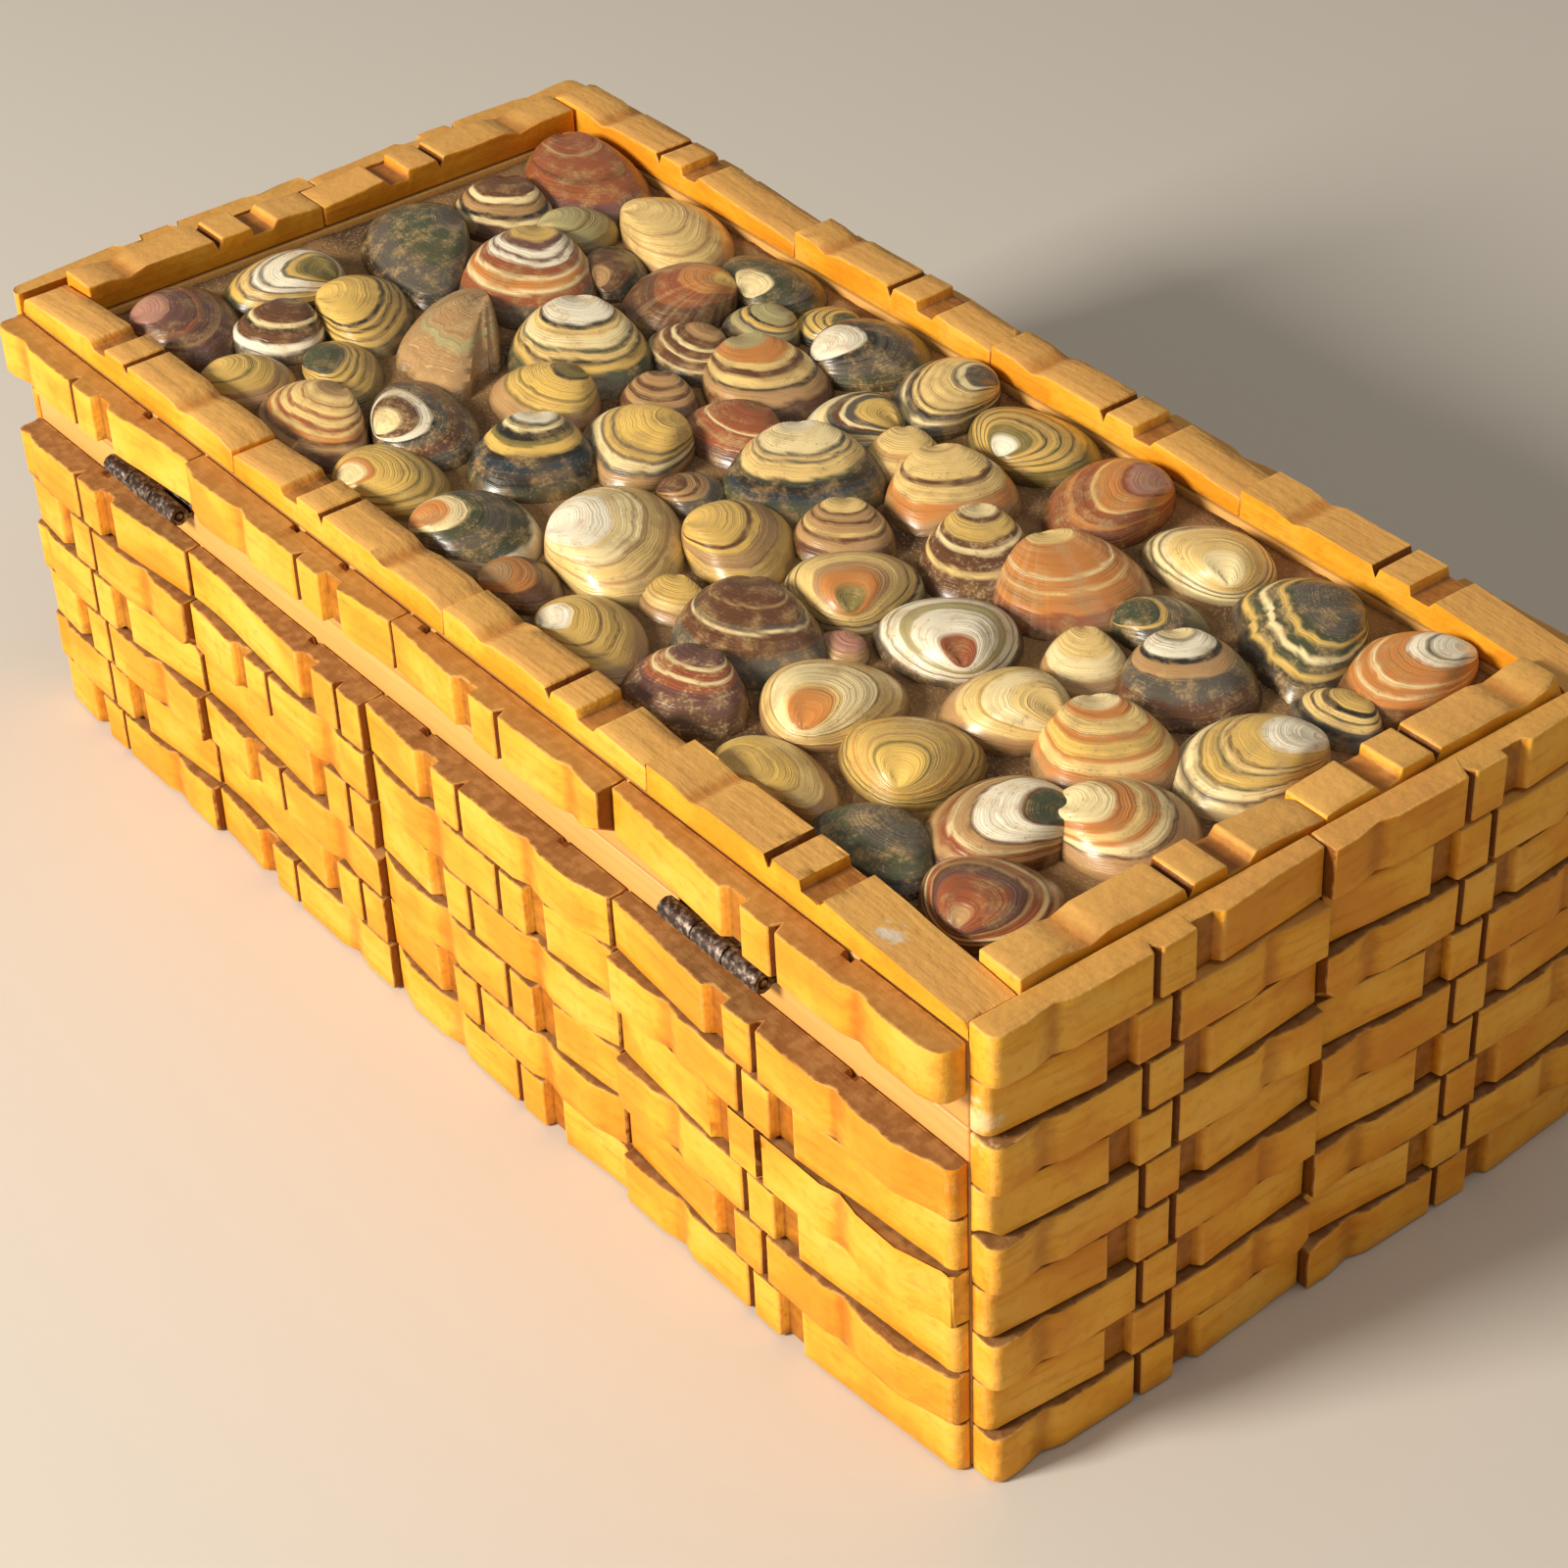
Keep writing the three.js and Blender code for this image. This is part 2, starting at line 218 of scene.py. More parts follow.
# ---------------------------------------------------------------------------
# Base box and lid frame: the two plain softwood carcasses, sawn and lightly
# sanded, varnished honey brown, and bare only along the seam at the hinges.

MILLIMETRE = 0.001
WOOD_ROUNDING = 0.5 * MILLIMETRE
WOOD_EDGE_ANGLE = 25.0
WOOD_SHARP_ANGLE = 40
MERGE_REACH = 1e-6
FLAT_ANGLE = 0.5
PALE_WOOD = paint(232, 180, 100)
BROWN_FIBRES = paint(182, 122, 58)
BROWN_CLOUDS = paint(150, 98, 52)


def merged_copy(node):
    """A CAD node's shape as one connected mesh with flat faces in one piece."""
    mesh = bmesh.new()
    mesh.from_mesh(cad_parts[node].data)
    bmesh.ops.remove_doubles(mesh, verts=mesh.verts, dist=MERGE_REACH)
    join_flat_faces(mesh, FLAT_ANGLE)
    return mesh


def join_flat_faces(mesh, angle):
    limit = math.radians(angle)
    bmesh.ops.dissolve_limit(mesh, angle_limit=limit, verts=mesh.verts, edges=mesh.edges)


def bevel(mesh, edges, width, segments):
    return bmesh.ops.bevel(mesh, geom=edges, offset=width, segments=segments, profile=0.5,
                           affect="EDGES", material=-1, clamp_overlap=True)


def round_edges(mesh, width, sharper_than):
    """Rounds the outer edges that are sharper than an angle, in degrees."""
    limit = math.radians(sharper_than)
    whole = [edge for edge in mesh.edges if edge.is_manifold]
    return bevel(mesh, [edge for edge in whole if edge.calc_face_angle_signed() > limit], width, 2)


def place_piece(mesh, name, body, slot, finish, *nodes):
    """Makes the mesh an object that rides on a body and stands for CAD nodes."""
    for face in mesh.faces:
        face.smooth = True
    piece = bpy.data.objects.new(name, bpy.data.meshes.new(name))
    mesh.to_mesh(piece.data)
    mesh.free()
    piece.data.materials.append(finish.material)
    bpy.context.scene.collection.objects.link(piece)
    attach(piece, body)
    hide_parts(*nodes)
    return piece


def sharpen(piece, angle):
    """Flat faces stay flat: only edges gentler than the angle are smoothed over."""
    piece.data.set_sharp_from_angle(angle=math.radians(angle))


plain_wood = Finish("varnished softwood")
wood_place = plain_wood.place()
fibres = plain_wood.noise(wood_place, 900.0, 4.0, (0.05, 1.0, 1.0))
clouds = plain_wood.noise(wood_place, 30.0, 3.0)
wood_tone = plain_wood.coats(
    PALE_WOOD,
    (fibres, 0.6, BROWN_FIBRES),
    (clouds, 0.3, BROWN_CLOUDS),
)
plain_wood.set(Base_Color=wood_tone, Roughness=fibres * 0.2 + 0.38)
plain_wood.relief(fibres, 0.2 * MILLIMETRE, 0.5)

for node, body in (("base_box", "base"), ("lid_frame", "lid")):
    carcass = merged_copy(node)
    round_edges(carcass, WOOD_ROUNDING, WOOD_EDGE_ANGLE)
    piece = place_piece(carcass, node + "_wood", body, "carcass_wood", plain_wood, node)
    sharpen(piece, WOOD_SHARP_ANGLE)

# ---------------------------------------------------------------------------
# Woven tiles: strands of split wood woven over stakes, pressed flat, sawn to
# tiles and glued on. Every strand is its own strip, with a hair's gap to the
# next, darker varnish and painted shade in the grooves, and a broken corner
# here and there.

STRAND_GAP = 0.12 * MILLIMETRE
STRAND_ROUNDING = 0.45 * MILLIMETRE
STRAND_EDGE_ANGLE = 25.0
STRAND_SHARP_ANGLE = 35
STRAND_FLAT_ANGLE = 1.0
END_ROUNDING = 2.2 * MILLIMETRE
CREST = 6.4 * MILLIMETRE
PAD_SLOPE = 0.9 * MILLIMETRE
LEVEL_EDGE = 0.1 * MILLIMETRE
CUT_SPACING = 3.0 * MILLIMETRE
CUT_REACH = 1e-7
ON_A_CUT = 1e-5
UP = Vector((0, 0, 1))

# How the strands differ: each is set back by up to so many millimetres, its
# face is dented and its edges wobble, both inwards from the sawn shape.
SET_BACK = 0.3
SURFACE_WAVE = 0.3 * MILLIMETRE
WAVES_A_METRE = 110
WAVE_LEVEL = 0.75
EDGE_WOBBLE = 0.3 * MILLIMETRE
WOBBLES_A_METRE = 160
WOBBLE_LEVEL = 1.0

# Broken corners: the share of strands that have one, how high on the end it
# is, how it slants and how many millimetres deep it goes.
CHIPPED_SHARE = 0.25
CHIP_HEIGHT = (0.5, 1.0)
CHIP_SLANT_ALONG = (0.5, 1.2)
CHIP_SLANT_OUT = (0.4, 1.0)
CHIP_SIZE = (0.8, 2.0)

# Half the width of the widest groove and slot, in millimetres, and how far a
# face is turned before it counts as the flank of a slot or a strand's edge.
GROOVE_REACH = 7
SLOT_REACH = 3
SLOT_DEPTH = 0.3 * MILLIMETRE
FLANK_TURN = 0.5
EDGE_TURN = 0.6

# Small holes left at the wall where a stake's end has split away, in
# millimetres along the top edge of the hinged side.
HOLE_HALF = 1.4 * MILLIMETRE
HOLE_REACH = 1.7 * MILLIMETRE
HOLE_DEPTH = 2.5 * MILLIMETRE
STAKE_HOLES = {"body_tile_back": (-123, -42, 2, 41, 121), "lid_tile_back": (-123, -2, 25, 42, 97)}

# Where one strand lies: the ways it runs, stacks and faces, its ends, its
# edges, the wall behind it, the box's corner, its stake holes and its dust.
Strand = namedtuple("Strand", "along across out start end lower upper back corner holes dusting")


def cut(mesh, place, facing, clear=False):
    """Cuts the mesh along a plane, and takes away what lies beyond it if asked."""
    everything = mesh.verts[:] + mesh.edges[:] + mesh.faces[:]
    bmesh.ops.bisect_plane(mesh, geom=everything, dist=CUT_REACH, plane_co=place,
                           plane_no=facing, clear_outer=clear)


def close(mesh):
    """Closes what a cut or a missing half has left open."""
    open_edges = [edge for edge in mesh.edges if edge.is_boundary]
    bmesh.ops.holes_fill(mesh, edges=open_edges, sides=0)


def score(mesh, axis, low, high, spacing):
    """Scores lines across the mesh, so that the strip can be bent and dented."""
    count = max(1, round((high - low) / spacing))
    for step in range(1, count):
        cut(mesh, axis * (low + (high - low) * step / count), axis)


def chip_corner(mesh, strand, chance):
    """Breaks off one corner of a strand's end."""
    at_start = chance.random() < 0.5
    at_top = chance.random() < 0.5
    corner = strand.along * (strand.start if at_start else strand.end)
    corner += strand.across * (strand.upper if at_top else strand.lower)
    corner += strand.out * (strand.back + chance.uniform(*CHIP_HEIGHT) * CREST)
    inwards = strand.along * (1 if at_start else -1) * chance.uniform(*CHIP_SLANT_ALONG)
    inwards += strand.across * (-1 if at_top else 1)
    inwards += strand.out * -chance.uniform(*CHIP_SLANT_OUT)
    size = chance.uniform(*CHIP_SIZE) * MILLIMETRE
    cut(mesh, corner + inwards.normalized() * size, -inwards, clear=True)
    close(mesh)


def round_corner_ends(mesh, strand):
    """Rounds a strand over where its end shows at a corner of the box."""
    ends = []
    for edge in mesh.edges:
        places = [corner.co for corner in edge.verts]
        reaches = [abs(place.dot(strand.along)) for place in places]
        at_corner = min(reaches) > strand.corner - MILLIMETRE
        outside = all(place.dot(strand.out) - strand.back > PAD_SLOPE for place in places)
        level = abs((places[0] - places[1]).dot(strand.out)) < LEVEL_EDGE
        if at_corner and outside and level:
            ends.append(edge)
    bevel(mesh, ends, END_ROUNDING, 3)


def open_stake_hole(mesh, strand, spot):
    """Opens one hole in a strand's top edge, against the wall."""
    for line in (spot - HOLE_HALF, spot, spot + HOLE_HALF):
        cut(mesh, strand.along * line, strand.along)
    cut(mesh, strand.out * (strand.back + HOLE_REACH), strand.out)
    for corner in mesh.verts:
        near_wall = corner.co.dot(strand.out) < strand.back + HOLE_REACH - ON_A_CUT
        at_spot = abs(corner.co.x - spot) < ON_A_CUT
        if near_wall and at_spot and corner.co.z > strand.upper - MILLIMETRE:
            corner.co.z -= HOLE_DEPTH


def thicknesses(mesh, strand):
    """The strand's greatest thickness in each millimetre of its length."""
    found = {}
    for corner in mesh.verts:
        cell = math.floor(corner.co.dot(strand.along) / MILLIMETRE)
        found[cell] = max(found.get(cell, 0.0), corner.co.dot(strand.out) - strand.back)
    return found


def sunk(profile, strand, place, reach):
    """How deep a place lies in a groove no wider than the reach."""
    cell = math.floor(place.dot(strand.along) / MILLIMETRE)
    before = max(profile.get(cell - step, 0.0) for step in range(1, reach + 1))
    after = max(profile.get(cell + step, 0.0) for step in range(1, reach + 1))
    return min(before, after) - (place.dot(strand.out) - strand.back)


def mark_faces(mesh, strand, profile):
    """Marks slot flanks and holes dark as painted shade, butted ends dark as joints, and the
    strand's long edges as plain.
    """
    shade_and_joint_mark = mesh.faces.layers.float.new("dark")
    plain_mark = mesh.faces.layers.float.new("plain")
    for face in mesh.faces:
        middle = face.calc_center_median()
        length = middle.dot(strand.along)
        flank = abs(face.normal.dot(strand.along)) > FLANK_TURN
        at_joint = min(length - strand.start, strand.end - length) < MILLIMETRE
        at_corner = abs(length) > strand.corner - 2 * MILLIMETRE
        butted = at_joint and not at_corner and strand.dusting > 0.0
        by_wall = middle.dot(strand.out) < strand.back + HOLE_REACH
        in_hole = by_wall and middle.z > strand.upper - HOLE_DEPTH
        in_hole = in_hole and any(abs(middle.x - spot) < HOLE_HALF for spot in strand.holes)
        sawn = flank and (butted or sunk(profile, strand, middle, SLOT_REACH) > SLOT_DEPTH)
        # Painted shade in slot flanks and holes; butted ends are dark joints.
        if in_hole or sawn:
            face[shade_and_joint_mark] = 1.0
        face[plain_mark] = 1.0 if abs(face.normal.dot(strand.across)) > EDGE_TURN else 0.0


def mark_corners(mesh, strand, profile, shift, tone):
    """Marks how deep each corner lies in a groove, read as stain and painted shade, how toned and
    dusty a strand is, and how its grain runs.
    """
    groove_depth_mark = mesh.verts.layers.float.new("groove_depth")
    tone_mark = mesh.verts.layers.float.new("tone")
    dust_mark = mesh.verts.layers.float.new("dust")
    grain_mark = mesh.verts.layers.float_vector.new("grain")
    for corner in mesh.verts:
        # How deep the corner lies in a groove, shown as stain and painted shade.
        depth = sunk(profile, strand, corner.co, GROOVE_REACH)
        corner[groove_depth_mark] = max(0.0, depth) / MILLIMETRE
        corner[tone_mark] = tone
        corner[dust_mark] = strand.dusting
        ways = (strand.along, strand.across, strand.out)
        corner[grain_mark] = Vector([corner.co.dot(way) for way in ways]) + shift


def bend(mesh, strand, lift, shift):
    """Dents a strand's face and wobbles its edges, but keeps it on the table."""
    for corner in mesh.verts:
        if corner.co.dot(strand.out) - strand.back > PAD_SLOPE:
            dent = noise.noise(corner.co * WAVES_A_METRE + shift) - WAVE_LEVEL
            dent = dent * SURFACE_WAVE / 2
            wobble = noise.noise(corner.co * WOBBLES_A_METRE - shift) - WOBBLE_LEVEL
            wobble = wobble * EDGE_WOBBLE
            sideways = strand.across * corner.normal.dot(strand.across) * wobble
            corner.co += strand.out * (dent + lift) + sideways
            corner.co.z = max(corner.co.z, 0.0)


def make_strand(source, strand, chance):
    """Cuts one strand out of a tile, rounds and dents it, and marks its grooves."""
    mesh = source.copy()
    for edge, side in ((strand.lower + STRAND_GAP, -1), (strand.upper - STRAND_GAP, 1)):
        cut(mesh, strand.across * edge, strand.across * side, clear=True)
        close(mesh)
    join_flat_faces(mesh, STRAND_FLAT_ANGLE)
    if chance.random() < CHIPPED_SHARE:
        chip_corner(mesh, strand, chance)
    round_corner_ends(mesh, strand)
    # Painted highlight on the rounded edges.
    highlight_mark = mesh.faces.layers.float.new("highlight")
    for face in round_edges(mesh, STRAND_ROUNDING, STRAND_EDGE_ANGLE)["faces"]:
        face[highlight_mark] = 1.0
    score(mesh, strand.along, strand.start, strand.end, CUT_SPACING)
    score(mesh, strand.across, strand.lower, strand.upper, CUT_SPACING)
    for spot in strand.holes:
        open_stake_hole(mesh, strand, spot)
    lift = chance.uniform(-SET_BACK, 0.0) * MILLIMETRE
    shift = Vector([chance.uniform(0, 9) for axis in range(3)])
    mesh.normal_update()
    profile = thicknesses(mesh, strand)
    mark_faces(mesh, strand, profile)
    mark_corners(mesh, strand, profile, shift, chance.random())
    bend(mesh, strand, lift, shift)
    return mesh


def span(node, axis):
    """Where a CAD node begins and ends along an axis."""
    low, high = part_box(node)
    return sorted((low.dot(axis), high.dot(axis)))


def make_weave(node, rows, along, across, out, body, dusting, chance):
    """One tile or strip: all its strands in one piece."""
    source = merged_copy(node)
    corner = (cad_high - cad_low).dot(along) / 2 - CREST
    start, end = span(node, along)
    lower, upper = span(node, across)
    back = span(node, out)[0]
    height = (upper - lower) / rows
    holes = [spot * MILLIMETRE for spot in STAKE_HOLES.get(node[:-2], ())]
    holes = [spot for spot in holes if start < spot < end]
    whole = bmesh.new()
    for row in range(rows):
        edges = (lower + row * height, lower + (row + 1) * height)
        top_holes = holes if row == rows - 1 else []
        strand = Strand(along, across, out, start, end, *edges, back, corner, top_holes, dusting)
        mesh = make_strand(source, strand, chance)
        part = bpy.data.meshes.new("strand")
        mesh.to_mesh(part)
        mesh.free()
        whole.from_mesh(part)
        bpy.data.meshes.remove(part)
    source.free()
    piece = place_piece(whole, node + "_woven", body, "woven_wood", weave_finish, node)
    sharpen(piece, STRAND_SHARP_ANGLE)


HONEY = paint(242, 174, 54)
DEEP_HONEY = paint(230, 157, 42)
ORANGE_BLOTCH = paint(216, 128, 28)
PALE_PATCH = paint(250, 194, 92)
ROUGH_FIBRES = paint(206, 124, 34)
BROWN_STREAK = paint(178, 96, 26)
# Upward faces: painted shade in tan.
SHADED_TOP = paint(204, 158, 94)
# Dirt with painted shade on dusty tops and ledges.
DARK_DIRT_AND_SHADE = paint(124, 86, 54)
PALE_DIRT_AND_SHADE = paint(146, 108, 70)
# Stain with painted shade in dips and on groove floors.
DIP_STAIN_AND_SHADE = paint(160, 84, 14)
GROOVE_STAIN_AND_SHADE = paint(104, 50, 12)
# Painted shade in slots and holes, also the colour of dark butted joints.
SLOT_SHADE_AND_JOINT = paint(98, 46, 14)
# Painted highlight along rounded edges.
EDGE_HIGHLIGHT = paint(238, 182, 96)

# White filler smeared on the rim, and pale bare wood where the near corner
# splintered: where, how far and in what colour.
SMEARS = (
    ((-0.128, 0.068, 0.1), 4 * MILLIMETRE, paint(206, 196, 178)),
    ((-0.153, 0.0735, 0.079), 7 * MILLIMETRE, paint(240, 204, 150)),
)

weave_finish = Finish("honey varnished strands")
grain_place = weave_finish.attribute("grain", "Vector")
strand_tone = weave_finish.attribute("tone")
groove_depth = weave_finish.attribute("groove_depth")
dark = weave_finish.attribute("dark")
plain = weave_finish.attribute("plain")
edge_highlight = weave_finish.attribute("highlight")
dust = weave_finish.attribute("dust")
facing = weave_finish.node("ShaderNodeNewGeometry", {}, {}, "Normal")
facing_up = weave_finish.step(weave_finish.part(facing, "Z"), 0.5, 0.9)
streaks = weave_finish.noise(grain_place, 700.0, 3.0, (0.06, 1.0, 1.0))
blotches = weave_finish.noise(grain_place, 70.0, 4.0, (0.6, 1.0, 1.0))
rough = weave_finish.noise(grain_place, 420.0, 4.0)
# Dirt and painted shade for dusty tops, in darker and paler patches.
dirt_and_shade = weave_finish.mix(weave_finish.step(rough, 0.4, 0.65), DARK_DIRT_AND_SHADE, PALE_DIRT_AND_SHADE)
weave_tone = weave_finish.coats(
    weave_finish.mix(strand_tone, HONEY, DEEP_HONEY),
    (weave_finish.step(blotches, 0.45, 0.62), 0.6, ORANGE_BLOTCH),
    (weave_finish.step(1 - blotches, 0.5, 0.7), 0.4, PALE_PATCH),
    (weave_finish.step(rough, 0.5, 0.7), 0.3, ROUGH_FIBRES),
    (weave_finish.step(streaks, 0.5, 0.8), 0.35, BROWN_STREAK),
    # Painted shade on upward faces: tan, and on dusty ones brown dirt with painted shade.
    (facing_up * (1 - dust), 0.8, SHADED_TOP),
    (facing_up * dust, 0.95, dirt_and_shade),
    # Stain and painted shade, darker the deeper a corner lies in its groove.
    (weave_finish.step(groove_depth + rough * 0.6, 0.5, 1.3) * (1 - plain), 0.5, DIP_STAIN_AND_SHADE),
    (weave_finish.step(groove_depth + rough * 0.8, 1.5, 2.2) * (1 - plain), 0.6, GROOVE_STAIN_AND_SHADE),
    # Painted shade in slots and holes, and dark butted joints.
    (dark, 0.85, SLOT_SHADE_AND_JOINT),
    # Painted highlight on rounded edges, broken up by noise.
    (edge_highlight * weave_finish.step(rough, 0.35, 0.6), 0.4, EDGE_HIGHLIGHT),
)
weave_place = weave_finish.place()
for spot, reach, colour in SMEARS:
    settings = {"operation": "DISTANCE"}
    values = {0: weave_place, 1: spot}
    away = weave_finish.node("ShaderNodeVectorMath", settings, values, "Value")
    edge = weave_finish.step(away + rough * reach * 2.0, reach * 1.3, reach * 1.8)
    weave_tone = weave_finish.coats(weave_tone, (1 - edge, 0.85, colour))
weave_finish.set(Base_Color=weave_tone, Roughness=streaks * 0.25 + 0.38, Specular_IOR_Level=0.25)
weave_finish.relief(streaks * 0.6 + blotches * 0.7 + rough * 0.8, 0.5 * MILLIMETRE, 0.7)

# The walls: the way each runs and faces, how many tiles long it is, how many
# strands high its base tiles and lid tiles are, and how dusty the lid tiles'
# tops are. The ledges of the base are dusty all round, the rim isn't.
Wall = namedtuple("Wall", "along out tiles base_rows lid_rows lid_dust")
WALLS = {
    "back": Wall(Vector((1, 0, 0)), Vector((0, 1, 0)), 4, 6, 1, 0.75),
    "front": Wall(Vector((1, 0, 0)), Vector((0, -1, 0)), 4, 6, 1, 0.15),
    "near_end": Wall(Vector((0, 1, 0)), Vector((-1, 0, 0)), 2, 7, 2, 0.15),
    "far_end": Wall(Vector((0, 1, 0)), Vector((1, 0, 0)), 2, 7, 2, 0.15),
}
BASE_DUST = 1.0
RIM_DUST = 0.0

chance = random.Random(7)
for name, wall in WALLS.items():
    for number in range(1, wall.tiles + 1):
        ways = (wall.along, UP, wall.out)
        body_tile = f"body_tile_{name}_{number}"
        make_weave(body_tile, wall.base_rows, *ways, "base", BASE_DUST, chance)
        lid_tile = f"lid_tile_{name}_{number}"
        make_weave(lid_tile, wall.lid_rows, *ways, "lid", wall.lid_dust, chance)

# ---------------------------------------------------------------------------
# Rim strips: single strands of the same weave, laid face up along the top of
# the lid's frame and butted end to end.

for name, wall in WALLS.items():
    for number in range(1, wall.tiles + 1):
        strip = f"rim_strip_{name}_{number}"
        make_weave(strip, 1, wall.along, wall.out, UP, "lid", RIM_DUST, chance)

# ---------------------------------------------------------------------------
# Shell bed: a sandy filler spread over the panel, rough between the shells.

BED_GRID = 1.6 * MILLIMETRE
BED_LUMPS = 0.5 * MILLIMETRE
BROAD_LUMPS_A_METRE = 160
SMALL_LUMPS_A_METRE = 420
SAND = paint(142, 108, 70)
DAMP_SAND = paint(80, 57, 36)
PALE_GRIT = paint(176, 148, 108)

bed_low, bed_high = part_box("shell_bed")
bed = merged_copy("shell_bed")
score(bed, Vector((1, 0, 0)), bed_low.x, bed_high.x, BED_GRID)
score(bed, Vector((0, 1, 0)), bed_low.y, bed_high.y, BED_GRID)
for corner in bed.verts:
    if corner.co.z > bed_high.z - MILLIMETRE / 10:
        lumps = noise.noise(corner.co * BROAD_LUMPS_A_METRE)
        lumps += 0.6 * noise.noise(corner.co * SMALL_LUMPS_A_METRE)
        corner.co.z += BED_LUMPS * (lumps - 0.3)
sand = Finish("sandy filler")
sand_place = sand.place()
grit = sand.noise(sand_place, 1600.0, 4.0)
sand_patches = sand.noise(sand_place, 60.0, 3.0)
sand_tone = sand.mix(sand.step(sand_patches, 0.35, 0.7), SAND, DAMP_SAND)
sand_tone = sand.coats(sand_tone, (sand.step(grit, 0.5, 0.7), 0.5, PALE_GRIT))
sand.set(Base_Color=sand_tone, Roughness=0.9)
sand.relief(grit, 0.4 * MILLIMETRE, 0.7)
place_piece(bed, "sand_filler", "lid", "shell_bed", sand, "shell_bed")

# ---------------------------------------------------------------------------
# Shells: single valves of common beach shells, set hollow side down in the
# filler and varnished. Each has grown outward from its beak in rings.

COLOURS = {
    "white": paint(240, 230, 204),
    "ivory": paint(242, 220, 164),
    "cream": paint(234, 200, 128),
    "straw": paint(216, 178, 96),
    "yellow": paint(228, 188, 98),
    "orange": paint(198, 128, 66),
    "tan": paint(180, 140, 94),
    "pink": paint(196, 122, 94),
    "rose": paint(176, 124, 108),
    "rust": paint(148, 82, 50),
    "brown": paint(98, 62, 40),
    "mauve": paint(108, 72, 64),
    "olive": paint(126, 112, 60),
    "sage": paint(172, 160, 112),
    "moss": paint(72, 76, 54),
    "slate": paint(88, 82, 72),
    "navy": paint(46, 56, 64),
    "ink": paint(36, 35, 32),
}

